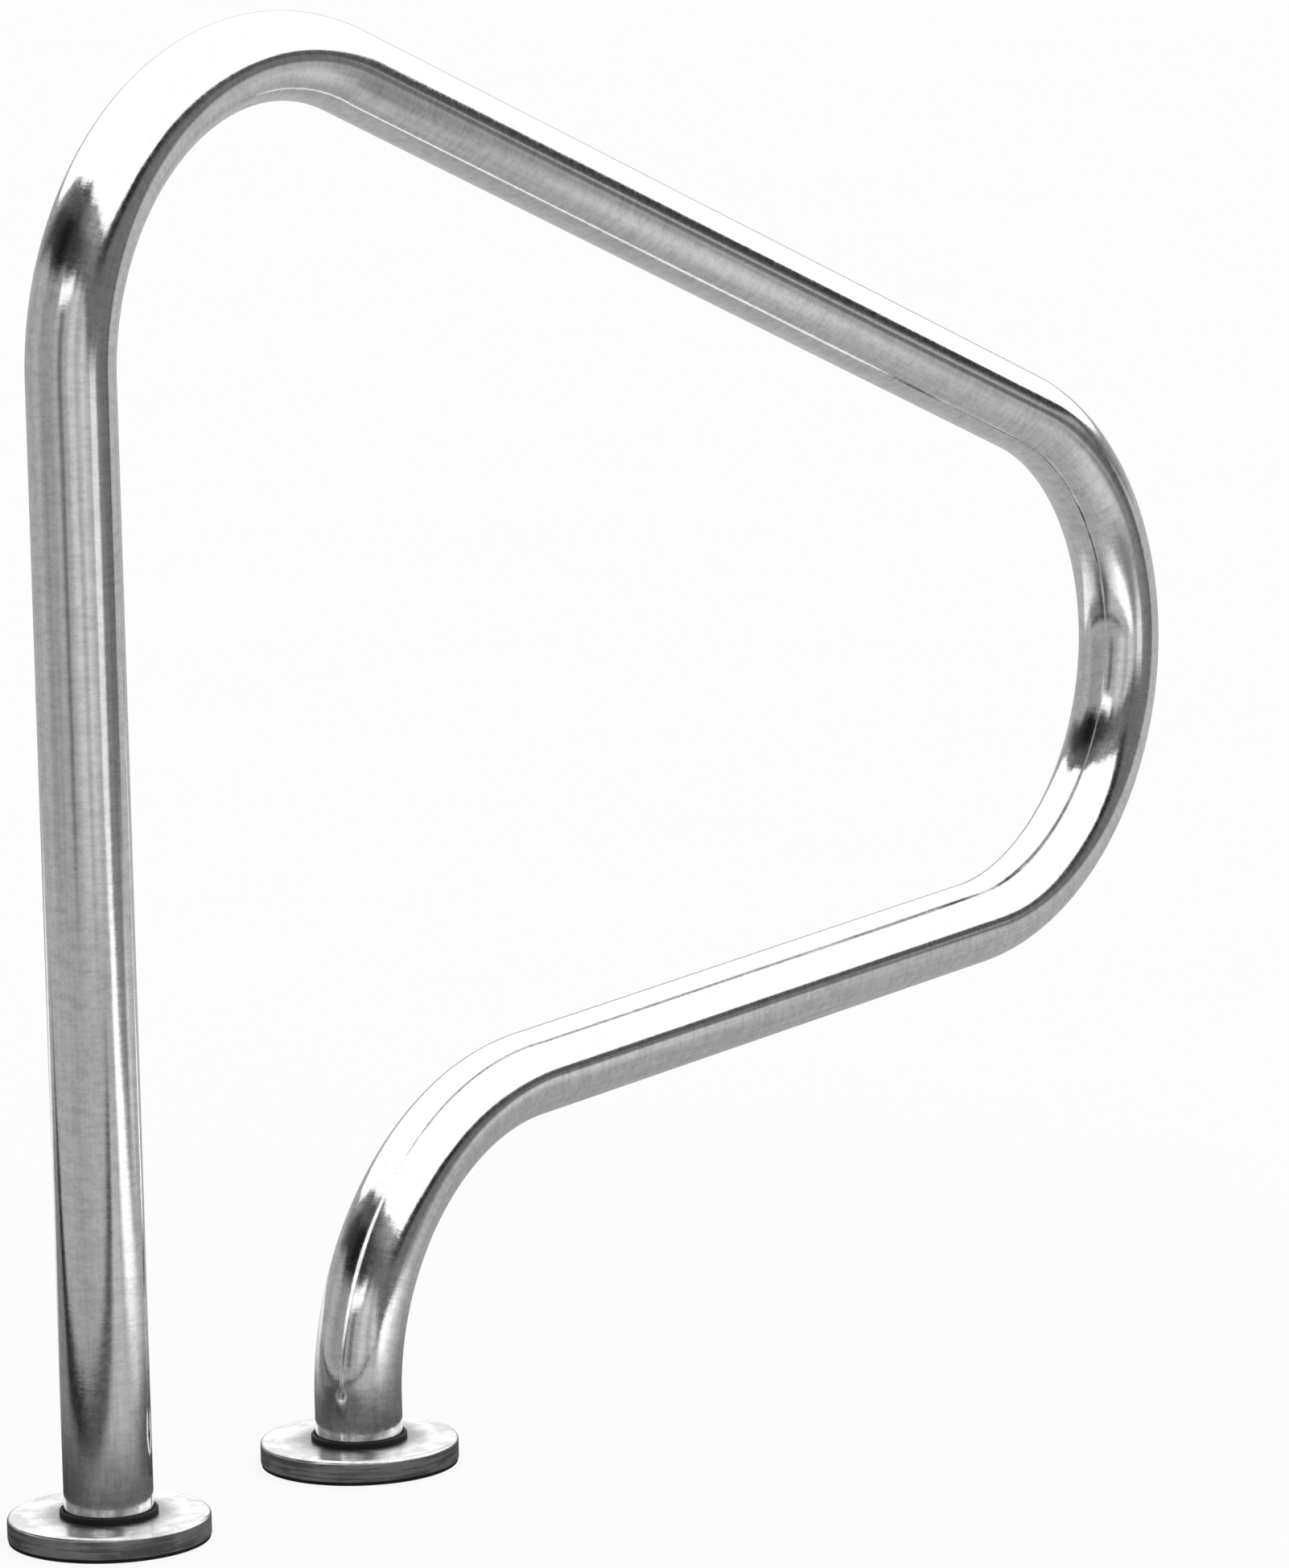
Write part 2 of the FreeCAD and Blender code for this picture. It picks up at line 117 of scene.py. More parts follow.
# Four places in a row are where a thing starts, is full, is still full, and ends.
PALE_WALL_ROUND = (-42, -38, -26, -20)  # compass degrees
PALE_WALL_DOWN = (0.42, 0.50, 0.58, 0.66)  # shares of the band's depth
PALE_WALL_GLOW = 0.34
OPENING_ROUND = (-179, -175, -150, -141)  # compass degrees
OPENING_UP = (16.0, 18.0, 22.0, 25.0)  # degrees above the horizon
OPENING_GLOW = 1.2
SKYLINE_WOBBLE = 6.0  # degrees
SKY_STRENGTH = 1.3
BACKDROP_STRENGTH = 1.0
WHITE = (1.0, 1.0, 1.0, 1.0)

# The deck, in metres from the long leg. Each strip across it has its place along X, how far to the sides it
# starts and ends to show, and its brightness in front of the feet and behind them.
DECK_STRIPS = (
    ((-0.30, -0.16, 0.02, 0.22), (1.4, 0.8), (0.50, 0.22)),  # the slab under the long leg
    ((-0.46, -0.34, -0.26, -0.15), (1.8, 0.8), (0.10, 0.03)),  # the dark joint next to it
    ((0.10, 0.30, 0.50, 0.66), (0.05, 0.75), (1.25, 0.95)),  # the pale strip past the short leg
)
BEHIND_FEET = (-0.05, 0.15)
DECK_ALONG, DECK_SHADE = (0.55, 1.6), (0.42, 0.50)
CORNER_SLANT, CORNER_ALONG, CORNER_SHADE = (-0.18, 0.02), (0.62, 0.82), 0.24
PALE_SLANT, PALE_ALONG, PALE_SHADE = (-0.62, -0.42, -0.28, -0.14), (0.7, 1.0), 0.60
SLANT = 0.92  # how far the slanting joint comes forward for each metre along the deck
FOOT_SHADOW = (0.10, 0.34, 0.30, 1.0)  # two distances from a leg, and the factors there
MIDDLE_SHADOW = (0.0, 0.6, 0.88, 1.0)  # two distances to the sides, and the factors there
DECK_WANDER = 0.10
DECK_SIZE, FLOOR_SIZE = 4.0, 30.0  # half widths
DECK_FADE = (1.5, 2.4)  # the deck fades out between these distances
FLOOR_GLOW = 0.85

SENSOR_WIDTH = 36.0  # millimetres


def box_of(node):
    low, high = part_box(node)
    return Vector(low), Vector(high)


TUBE_LOW, TUBE_HIGH = box_of("rail_tube")
COVER_LOW, COVER_HIGH = box_of("long_leg_cover")
RING_LOW, RING_HIGH = box_of("long_leg_cover_seal")
SHORT_LOW, SHORT_HIGH = box_of("short_leg_cover")
LEG_X = {"long_leg": 0.0, "short_leg": (SHORT_LOW.x + SHORT_HIGH.x) / 2}


class RailSizes(bpy.types.PropertyGroup):
    """Sizes of the tube, the covers and their rings."""

    tube_diameter: bpy.props.FloatProperty(
        name="Tube diameter",
        description="Outside diameter of the rail's tube",
        default=TUBE_HIGH.y - TUBE_LOW.y,
        unit="LENGTH",
    )
    tube_wall: bpy.props.FloatProperty(
        name="Tube wall",
        description="Thickness of the tube's wall",
        default=1.65 * MM,
        unit="LENGTH",
    )
    bend_radius: bpy.props.FloatProperty(
        name="Bend radius",
        description="Radius of all three bends, to the middle of the tube",
        default=0.157,
        unit="LENGTH",
    )
    low_bend_height: bpy.props.FloatProperty(
        name="Low bend height",
        description="Height at which the short leg starts to bend",
        default=0.036,
        unit="LENGTH",
    )
    lower_rise: bpy.props.FloatProperty(
        name="Lower rail's rise",
        description="Slope of the lower rail, up and away from the short leg",
        default=math.radians(3.0),
        subtype="ANGLE",
        unit="ROTATION",
    )
    lock_hole: bpy.props.FloatProperty(
        name="Lock screw hole",
        description="Diameter of the holes near the tube's ends",
        default=6.2 * MM,
        unit="LENGTH",
    )
    lock_height: bpy.props.FloatProperty(
        name="Lock screw height",
        description="Height of the holes above the deck",
        default=13.5 * MM,
        unit="LENGTH",
    )
    cover_wall: bpy.props.FloatProperty(
        name="Cover wall",
        description="Thickness of the covers' sheet",
        default=1.2 * MM,
        unit="LENGTH",
    )
    cover_edge: bpy.props.FloatProperty(
        name="Cover edge radius",
        description="Rounding of the covers' outer edge",
        default=2.4 * MM,
        unit="LENGTH",
    )
    ring_neck: bpy.props.FloatProperty(
        name="Ring neck",
        description="Width of the ring inside the cover's hole",
        default=0.9 * MM,
        unit="LENGTH",
    )
    ring_edge: bpy.props.FloatProperty(
        name="Ring edge",
        description="Rounding of the rings' top lips",
        default=0.8 * MM,
        unit="LENGTH",
    )
    ring_gap: bpy.props.FloatProperty(
        name="Ring gap",
        description="Space between the ring and the tube",
        default=0.3 * MM,
        unit="LENGTH",
    )
    sides: bpy.props.IntProperty(
        name="Sides",
        description="Flats round the tube, the covers and the rings",
        default=128,
    )
    bend_steps: bpy.props.IntProperty(
        name="Bend steps",
        description="Steps along each bend",
        default=96,
    )


class RailFinish(bpy.types.PropertyGroup):
    """Colours of the finishes."""

    polished: bpy.props.FloatVectorProperty(
        name="Polished stainless",
        description="Colour of the tube",
        default=(0.86, 0.86, 0.86),
        subtype="COLOR",
    )
    pressed: bpy.props.FloatVectorProperty(
        name="Pressed stainless",
        description="Colour of the covers",
        default=(0.82, 0.82, 0.82),
        subtype="COLOR",
    )
    turned: bpy.props.FloatVectorProperty(
        name="Turned stainless",
        description="Colour of the base plates and spigots",
        default=(0.56, 0.56, 0.55),
        subtype="COLOR",
    )
    fastener: bpy.props.FloatVectorProperty(
        name="Fasteners",
        description="Colour of the screws, nuts, washers and anchors",
        default=(0.50, 0.50, 0.49),
        subtype="COLOR",
    )
    rubber: bpy.props.FloatVectorProperty(
        name="Rubber",
        description="Colour of the rings and gaskets",
        default=(0.008, 0.008, 0.008),
        subtype="COLOR",
    )
    floor: bpy.props.FloatVectorProperty(
        name="Floor",
        description="Colour of the stage's floor",
        default=(0.85, 0.85, 0.85),
        subtype="COLOR",
    )


class RailCamera(bpy.types.PropertyGroup):
    """Where the camera stands."""

    azimuth: bpy.props.FloatProperty(
        name="Azimuth",
        description="Turn round the rail, 0 looks along +Y",
        default=math.radians(-49.56),
        subtype="ANGLE",
        unit="ROTATION",
    )
    elevation: bpy.props.FloatProperty(
        name="Elevation",
        description="Angle above the horizon",
        default=math.radians(9.97),
        subtype="ANGLE",
        unit="ROTATION",
    )
    roll: bpy.props.FloatProperty(
        name="Roll",
        description="Turn about the line of sight",
        default=math.radians(-1.30),
        subtype="ANGLE",
        unit="ROTATION",
    )
    distance: bpy.props.FloatProperty(
        name="Distance",
        description="From the camera to its target",
        default=5.0,
        unit="LENGTH",
    )
    target: bpy.props.FloatVectorProperty(
        name="Target",
        description="The point the camera looks at",
        default=(0.4554, 0.0, 0.3422),
        subtype="XYZ",
        unit="LENGTH",
    )
    lens: bpy.props.FloatProperty(
        name="Lens",
        description="Focal length in millimetres",
        default=202.2,
    )


# ---- node helpers ----


class Tree:
    """Adds nodes to a tree, with inputs given as values or as other nodes' outputs."""

    def __init__(self, tree):
        self.tree = tree

    def add(self, kind, inputs=None, **settings):
        node = self.tree.nodes.new(kind)
        for name, value in settings.items():
            setattr(node, name, value)
        for key, value in (inputs or {}).items():
            if isinstance(value, bpy.types.NodeSocket):
                self.link(value, node.inputs[key])
            else:
                node.inputs[key].default_value = value
        return node

    def link(self, output, socket):
        self.tree.links.new(output, socket)

    def math(self, operation, a, b=0.0):
        return self.add("ShaderNodeMath", {0: a, 1: b}, operation=operation).outputs[0]

    def plus(self, a, b):
        return self.math("ADD", a, b)

    def minus(self, a, b):
        return self.math("SUBTRACT", a, b)

    def times(self, a, b):
        return self.math("MULTIPLY", a, b)

    def shares(self, *parts):
        """The sum of (value, share) pairs."""
        total, *others = [self.times(value, share) for value, share in parts]
        for other in others:
            total = self.plus(total, other)
        return total

    def mix(self, share, a, b):
        return self.add("ShaderNodeMix", {0: share, 2: a, 3: b}, data_type="FLOAT").outputs[0]

    def remap(self, value, low, high, to_low=0.0, to_high=1.0, smooth=True):
        kind = "SMOOTHSTEP" if smooth else "LINEAR"
        inputs = {"Value": value, "From Min": low, "From Max": high, "To Min": to_low, "To Max": to_high}
        return self.add("ShaderNodeMapRange", inputs, interpolation_type=kind).outputs[0]

    def rise_and_fall(self, value, start, full, still, end):
        """0 before start, 1 from full to still, 0 after end."""
        return self.times(self.remap(value, start, full), self.remap(value, still, end, 1.0, 0.0))

    def axes(self, vector):
        return self.add("ShaderNodeSeparateXYZ", {0: vector}).outputs

    def place(self):
        """Where a point of the piece lies, in metres."""
        return self.add("ShaderNodeTexCoord").outputs["Object"]

    def grain(self):
        """How far along its piece a point lies, and which way it faces."""
        node = self.add("ShaderNodeAttribute", attribute_name="grain", attribute_type="GEOMETRY")
        return node.outputs["Vector"]

    def stretched(self, vector, scale):
        return self.add("ShaderNodeMapping", {"Vector": vector, "Scale": scale}).outputs[0]

    def noise(self, vector, scale, detail, roughness):
        inputs = {"Vector": vector, "Scale": scale, "Detail": detail, "Roughness": roughness}
        return self.add("ShaderNodeTexNoise", inputs).outputs["Fac"]

    def speckle(self, vector, scale, detail, roughness, swing):
        """A factor round 1 that strays by the swing either way."""
        noise = self.noise(vector, scale, detail, roughness)
        return self.remap(noise, 0.25, 0.75, 1.0 - swing, 1.0 + swing, smooth=False)

    def wander(self, vector, scale, width):
        """A slow shift to either side, by up to half the width."""
        return self.times(self.minus(self.noise(vector, scale, 4.0, 0.6), 0.5), width)

    def bump(self, height, strength, distance, **under):
        """A bump of the given height in metres, on top of the normal under it."""
        inputs = {"Strength": strength, "Distance": distance, "Height": height, **under}
        return self.add("ShaderNodeBump", inputs).outputs[0]

    def shade_of(self, colour, factor, low, high):
        """The colour, made lighter and darker by a factor that runs from 0 to 1."""
        node = self.add("ShaderNodeValToRGB", {"Fac": factor})
        dark, light = node.color_ramp.elements
        dark.color = (*(channel * low for channel in colour), 1.0)
        light.color = (*(min(channel * high, 1.0) for channel in colour), 1.0)
        return node.outputs["Color"]


def cleared_nodes(owner):
    """The owner's node tree, emptied."""
    owner.use_nodes = True
    owner.node_tree.nodes.clear()
    return Tree(owner.node_tree)


# ---- finishes: each returns its colour, roughness and normal ----


def belt_polished_stainless(nodes, colours):
    """Belt-polished stainless: fine rings round the tube, in patches, and a few lines along it."""
    grain = nodes.grain()
    place = nodes.place()
    rings = nodes.noise(nodes.stretched(grain, (300.0, 1.6, 1.6)), 1.0, 4.0, 0.7)
    lines = nodes.noise(nodes.stretched(grain, (5.0, 14.0, 14.0)), 1.0, 4.0, 0.6)
    specks = nodes.noise(place, 330.0, 3.0, 0.7)
    patches = nodes.remap(nodes.noise(place, 16.0, 3.0, 0.6), 0.38, 0.62, 0.70, 1.0)
    marks = nodes.remap(nodes.shares((rings, 0.6), (specks, 0.4)), 0.44, 0.53, smooth=False)
    marks = nodes.mix(patches, 0.55, marks)
    streaks = nodes.remap(lines, 0.43, 0.57, smooth=False)
    mottle = nodes.remap(nodes.noise(place, 150.0, 4.0, 0.65), 0.42, 0.58, smooth=False)
    shine = nodes.shares((marks, 0.50), (streaks, 0.22), (mottle, 0.28))
    waves = nodes.bump(nodes.noise(place, 14.0, 2.0, 0.4), 0.35, 0.0006)
    return (
        nodes.shade_of(colours.polished, shine, 0.84, 1.16),
        nodes.remap(specks, 0.35, 0.75, 0.085, 0.14),
        nodes.bump(rings, 1.0, 0.000022, Normal=waves),
    )


def pressed_stainless(nodes, colours):
    """Pressed stainless sheet, brushed more softly than the tube, with wipe marks in its own rings, painted
    shade round its hole, and scratches on its skirt deepened by painted shade.
    """
    grain = nodes.grain()
    place = nodes.place()
    rings = nodes.noise(grain, 9.0, 5.0, 0.65)
    wipes = nodes.noise(place, 46.0, 4.0, 0.6)
    scratches = nodes.noise(nodes.stretched(place, (30.0, 30.0, 700.0)), 1.0, 3.0, 0.6)
    top_marks = nodes.remap(nodes.shares((wipes, 0.65), (rings, 0.35)), 0.42, 0.60, 0.55, 1.0)
    # Scratches and painted shade: the skirt's marks reach much darker than the top's, so the cover's side
    # is painted darker than its top.
    skirt_scratches_and_shade = nodes.remap(nodes.shares((scratches, 0.6), (wipes, 0.4)), 0.43, 0.56, 0.22, 1.0)
    height = nodes.axes(place)["Z"]
    on_skirt = nodes.remap(height, COVER_HIGH.z - 1.6 * MM, COVER_HIGH.z - 2.4 * MM)
    # Painted shade: the cover's colour darkens towards its hole, standing in for the shade and the tube's
    # dark reflection round the rubber ring.
    radius = nodes.axes(grain)["X"]
    painted_shade_near_hole = nodes.remap(radius, 26 * MM * GRAIN_OUTWARDS, 44 * MM * GRAIN_OUTWARDS, 0.05, 1.0)
    shine = nodes.times(nodes.mix(on_skirt, top_marks, skirt_scratches_and_shade), painted_shade_near_hole)
    dents = nodes.bump(wipes, 0.3, 0.0004)
    return (
        nodes.shade_of(colours.pressed, shine, 0.26, 1.02),
        nodes.remap(shine, 0.0, 1.0, 0.32, 0.20),
        nodes.bump(nodes.noise(place, 500.0, 3.0, 0.7), 0.4, 0.00002, Normal=dents),
    )


def turned_stainless(nodes, colours):
    """Lathe-turned stainless, with a fine grain and stains."""
    place = nodes.place()
    fine = nodes.noise(place, 900.0, 4.0, 0.6)
    stains = nodes.noise(place, 45.0, 4.0, 0.6)
    return (
        nodes.shade_of(colours.turned, stains, 0.75, 1.12),
        nodes.remap(fine, 0.3, 0.7, 0.24, 0.40),
        nodes.bump(fine, 0.25, 0.00005),
    )


def fastener_steel(nodes, colours):
    """Plain stainless fasteners, dulled by the damp."""
    place = nodes.place()
    grime = nodes.noise(place, 140.0, 5.0, 0.65)
    return (
        nodes.shade_of(colours.fastener, grime, 0.6, 1.15),
        nodes.remap(grime, 0.3, 0.7, 0.26, 0.46),
        nodes.bump(nodes.noise(place, 1500.0, 2.0, 0.5), 0.2, 0.00003),
    )


def moulded_rubber(nodes, colours):
    """Moulded black rubber with a fine skin and a trace of dust."""
    place = nodes.place()
    dust = nodes.noise(place, 70.0, 4.0, 0.6)
    return (
        nodes.shade_of(colours.rubber, dust, 0.6, 2.2),
        nodes.remap(dust, 0.3, 0.7, 0.55, 0.75),
        nodes.bump(nodes.noise(place, 1200.0, 4.0, 0.6), 0.3, 0.00006),
    )


FINISHES = {
    "belt_polished_stainless": (belt_polished_stainless, METAL),
    "pressed_stainless": (pressed_stainless, METAL),
    "turned_stainless": (turned_stainless, METAL),
    "fastener_steel": (fastener_steel, METAL),
    "moulded_rubber": (moulded_rubber, DULL_RUBBER),
}


def finish_named(name):
    """The material of that name, made when it's first asked for."""
    if name not in bpy.data.materials:
        finish, settings = FINISHES[name]
        material = bpy.data.materials.new(name)
        nodes = cleared_nodes(material)
        colour, roughness, normal = finish(nodes, bpy.context.scene.rail_finish)
        inputs = {"Base Color": colour, "Roughness": roughness, "Normal": normal, **settings}
        shader = nodes.add("ShaderNodeBsdfPrincipled", inputs)
        nodes.add("ShaderNodeOutputMaterial", {"Surface": shader.outputs["BSDF"]})
    return bpy.data.materials[name]


# ---- the tube ----


def tube_corners(sizes):
    """The centreline's ends and the three points where its straights would meet."""
    radius = sizes.bend_radius
    rise = sizes.lower_rise
    top_bend = Vector((radius, 0, TUBE_HIGH.z - sizes.tube_diameter / 2 - radius))
    far_x = TUBE_HIGH.x - sizes.tube_diameter / 2 - radius
    low_bend = Vector((LEG_X["short_leg"] + radius, 0, sizes.low_bend_height))
    # The far bend's middle: up the lower rail from the low bend, and two bend radii across it.
    run = (far_x + 2 * radius * math.sin(rise) - low_bend.x) / math.cos(rise)
    far_z = low_bend.z + 2 * radius * math.cos(rise) + run * math.sin(rise)
    slope = math.atan2(top_bend.z - far_z, far_x - top_bend.x)
    upper_point = top_bend + radius * Vector((math.sin(slope), 0, math.cos(slope)))
    upper = Vector((math.cos(slope), 0, -math.sin(slope)))
    lower_point = low_bend + radius * Vector((-math.sin(rise), 0, math.cos(rise)))
    lower = Vector((math.cos(rise), 0, math.sin(rise)))
    # Where the two rails meet the legs and, past the far bend, each other.
    first = upper_point - upper * (upper_point.x / upper.x)
    third = lower_point - lower * ((lower_point.x - LEG_X["short_leg"]) / lower.x)
    gap = third - first
    along = (gap.x * lower.z - gap.z * lower.x) / (upper.x * lower.z - upper.z * lower.x)
    second = first + upper * along
    start = Vector((0, 0, TUBE_LOW.z))
    end = Vector((LEG_X["short_leg"], 0, TUBE_LOW.z))
    return [start, first, second, third, end]


def bent_tube_tree():
    """Geometry Nodes: rounds the corners of a path and sweeps the tube's two walls along it."""
    tree = bpy.data.node_groups.new("Bent tube", "GeometryNodeTree")
    tree.interface.new_socket("Geometry", in_out="OUTPUT", socket_type="NodeSocketGeometry")
    for name, kind in (
        ("Geometry", "NodeSocketGeometry"),
        ("Bend radius", "NodeSocketFloat"),
        ("Bend steps", "NodeSocketInt"),
        ("Tube radius", "NodeSocketFloat"),
        ("Wall", "NodeSocketFloat"),
        ("Sides", "NodeSocketInt"),
        ("Material", "NodeSocketMaterial"),
    ):
        tree.interface.new_socket(name, in_out="INPUT", socket_type=kind)
    nodes = Tree(tree)
    given = nodes.add("NodeGroupInput").outputs
    bent = nodes.add(
        "GeometryNodeFilletCurve",
        {"Curve": given["Geometry"], "Radius": given["Bend radius"], "Count": given["Bend steps"]},
        mode="POLY",
    ).outputs[0]
    position = nodes.add("GeometryNodeInputPosition").outputs[0]
    run = nodes.add("GeometryNodeCaptureAttribute", domain="POINT")
    run.capture_items.new("FLOAT", "Run")
    run.capture_items.new("VECTOR", "Middle")
    nodes.link(bent, run.inputs["Geometry"])
    nodes.link(nodes.add("GeometryNodeSplineParameter").outputs["Length"], run.inputs["Run"])
    nodes.link(position, run.inputs["Middle"])
    inner_radius = nodes.minus(given["Tube radius"], given["Wall"])
    walls = []
    for radius in (given["Tube radius"], inner_radius):
        circle = {"Resolution": given["Sides"], "Radius": radius}
        ring = nodes.add("GeometryNodeCurvePrimitiveCircle", circle).outputs["Curve"]
        sweep = {"Curve": run.outputs["Geometry"], "Profile Curve": ring}
        walls.append(nodes.add("GeometryNodeCurveToMesh", sweep).outputs[0])
    outer, inner = walls
    both = nodes.add("GeometryNodeJoinGeometry")
    nodes.link(outer, both.inputs[0])
    nodes.link(nodes.add("GeometryNodeFlipFaces", {"Mesh": inner}).outputs[0], both.inputs[0])
    inputs = {0: position, 1: run.outputs["Middle"]}
    spoke = nodes.add("ShaderNodeVectorMath", inputs, operation="SUBTRACT").outputs[0]
    unit = nodes.add("ShaderNodeVectorMath", {0: spoke}, operation="NORMALIZE").outputs[0]
    across = nodes.axes(unit)
    left = nodes.minus(1.0, nodes.times(across["Y"], across["Y"]))
    flat = nodes.math("SQRT", nodes.math("MAXIMUM", left, 0.0))
    facing = nodes.times(nodes.math("SIGN", across["X"]), flat)
    grain = nodes.add("ShaderNodeCombineXYZ", {0: run.outputs["Run"], 1: across["Y"], 2: facing}).outputs[0]
    stored = nodes.add(
        "GeometryNodeStoreNamedAttribute",
        {"Geometry": both.outputs[0], "Name": "grain", "Value": grain},
        data_type="FLOAT_VECTOR",
        domain="POINT",
    ).outputs[0]
    smooth = nodes.add("GeometryNodeSetShadeSmooth", {"Geometry": stored}).outputs[0]
    real = nodes.add("GeometryNodeRealizeInstances", {"Geometry": smooth}).outputs[0]
    dressed = nodes.add("GeometryNodeSetMaterial", {"Geometry": real, "Material": given["Material"]})
    nodes.add("NodeGroupOutput", {0: dressed.outputs[0]})
    return tree


def object_from(name, data):
    made = bpy.data.objects.new(name, data)
    bpy.context.scene.collection.objects.link(made)
    return made


def give_inputs(modifier, tree, values):
    """Sets a Geometry Nodes modifier's inputs, given by their names."""
    for item in tree.interface.items_tree:
        if item.in_out == "INPUT" and item.name in values:
            modifier[item.identifier] = values[item.name]


def plain_mesh_of(made, name):
    """The object's evaluated mesh, with every modifier's work in it."""
    bpy.context.view_layer.update()
    graph = bpy.context.evaluated_depsgraph_get()
    mesh = bpy.data.meshes.new_from_object(made.evaluated_get(graph), depsgraph=graph)
    mesh.name = name
    return mesh


def remove_object(made):
    bpy.data.objects.remove(made, do_unlink=True)


def swept_tube(sizes):
    """The tube's mesh, with its two walls still open at the ends."""
    path = bpy.data.curves.new("tube_path", "CURVE")
    path.dimensions = "3D"
    spline = path.splines.new("POLY")
    corners = tube_corners(sizes)
    spline.points.add(len(corners) - 1)
    for point, corner in zip(spline.points, corners):
        point.co = (*corner, 1.0)
    made = object_from("tube_path", path)
    tree = bent_tube_tree()
    modifier = made.modifiers.new("Bent tube", "NODES")
    modifier.node_group = tree
    values = {
        "Bend radius": sizes.bend_radius,
        "Bend steps": sizes.bend_steps,
        "Tube radius": sizes.tube_diameter / 2,
        "Wall": sizes.tube_wall,
        "Sides": sizes.sides,
        "Material": finish_named("belt_polished_stainless"),
    }
    give_inputs(modifier, tree, values)
    mesh = plain_mesh_of(made, "rail")
    remove_object(made)
    return mesh


def close_ends(mesh, cut_height):
    """Joins the two walls at the tube's ends, and adds an edge loop above the lock screws."""
    work = bmesh.new()
    work.from_mesh(mesh)
    open_edges = [edge for edge in work.edges if edge.is_boundary]
    middle = LEG_X["short_leg"] / 2
    for at_long_leg in (True, False):
        ends = [edge for edge in open_edges if (edge.verts[0].co.x < middle) == at_long_leg]
        bmesh.ops.bridge_loops(work, edges=ends)
    near_ends = [face for face in work.faces if min(vert.co.z for vert in face.verts) < cut_height]
    edges = dict.fromkeys(edge for face in near_ends for edge in face.edges)
    verts = dict.fromkeys(vert for face in near_ends for vert in face.verts)
    parts = [*near_ends, *edges, *verts]
    bmesh.ops.bisect_plane(work, geom=parts, plane_co=(0, 0, cut_height), plane_no=(0, 0, 1))
    bmesh.ops.recalc_face_normals(work, faces=work.faces)
    work.to_mesh(mesh)
    work.free()


def lock_hole_cutter(sizes):
    """Six short pins, one where each lock screw goes through the tube's wall."""
    work = bmesh.new()
    wall_middle = (sizes.tube_diameter - sizes.tube_wall) / 2
    for leg in LEGS:
        for turn in LOCK_SCREW_TURNS:
            place = (
                Matrix.Translation((LEG_X[leg], 0, sizes.lock_height))
                @ Matrix.Rotation(math.radians(turn), 4, "Z")
                @ Matrix.Translation((wall_middle, 0, 0))
                @ Matrix.Rotation(math.radians(90), 4, "Y")
            )
            bmesh.ops.create_cone(
                work,
                cap_ends=True,
                segments=LOCK_HOLE_SIDES,
                radius1=sizes.lock_hole / 2,
                radius2=sizes.lock_hole / 2,
                depth=sizes.tube_wall * 3,
                matrix=place,
            )
    mesh = bpy.data.meshes.new("lock_hole_cutter")
    work.to_mesh(mesh)
    work.free()
    return object_from("lock_hole_cutter", mesh)


def mend_grain(mesh):
    """Gives the corners of the drilled holes the grain of the tube round them."""
    grain = mesh.attributes["grain"].data
    length = max(item.vector.x for item in grain)
    for vert, item in zip(mesh.vertices, grain):
        if item.vector.length > 0.5:  # 1 or more wherever the sweep gave the grain, else 0
            continue
        leg_x = min(LEG_X.values(), key=lambda x: abs(vert.co.x - x))
        spoke = Vector((vert.co.x - leg_x, vert.co.y)).normalized()
        height = vert.co.z - TUBE_LOW.z
        item.vector = (height if leg_x == 0.0 else length - height, spoke.y, spoke.x)


class HANDRAIL_OT_tube(bpy.types.Operator):
    """Make the bent tube with its lock screw holes"""

    bl_idname = "handrail.tube"
    bl_label = "Tube"

    def execute(self, context):
        sizes = context.scene.rail_sizes
        mesh = swept_tube(sizes)
        close_ends(mesh, sizes.lock_height + sizes.lock_hole * LOOP_ABOVE_HOLES)
        tube = object_from("polished_tube", mesh)
        cutter = lock_hole_cutter(sizes)
        holes = tube.modifiers.new("Holes", "BOOLEAN")
        holes.operation = "DIFFERENCE"
        holes.solver = "EXACT"
        holes.object = cutter
        drilled = plain_mesh_of(tube, "polished_tube")
        tube.modifiers.clear()
        tube.data = drilled
        remove_object(cutter)
        mend_grain(drilled)
        drilled.set_sharp_from_angle(angle=TUBE_SHARP_ANGLE)
        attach(tube, "rail")
        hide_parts("rail_tube")
        return {"FINISHED"}


# ---- covers and rings ----


def arc(centre, radius, start_deg, end_deg, steps):
    """(radius, z) points of a rounded corner, ends included."""
    turns = [math.radians(start_deg + (end_deg - start_deg) * i / steps) for i in range(steps + 1)]
    return [(centre[0] + radius * math.cos(turn), centre[1] + radius * math.sin(turn)) for turn in turns]


def turned_mesh(name, outline, centre_x, sides, material):
    """A closed ring turned about a leg's axis from a closed outline of (radius, z) points."""
    mesh = bpy.data.meshes.new(name)
    work = bmesh.new()
    grain = work.verts.layers.float_vector.new("grain")
    rings = []
    for i in range(sides):
        turn = 2 * math.pi * i / sides
        ring = []
        for radius, z in outline:
            vert = work.verts.new((centre_x + radius * math.cos(turn), radius * math.sin(turn), z))
            vert[grain] = (
                radius * GRAIN_OUTWARDS,
                math.cos(turn) * GRAIN_ROUND,
                math.sin(turn) * GRAIN_ROUND,
            )
            ring.append(vert)
        rings.append(ring)
    count = len(outline)
    for ring, following in zip(rings, rings[1:] + rings[:1]):
        for j in range(count):
            k = (j + 1) % count
            work.faces.new((ring[j], following[j], following[k], ring[k]))
    bmesh.ops.recalc_face_normals(work, faces=work.faces)
    for face in work.faces:
        face.smooth = True
    work.to_mesh(mesh)
    work.free()
    mesh.materials.append(material)
    mesh.set_sharp_from_angle(angle=TURNED_SHARP_ANGLE)
    return mesh


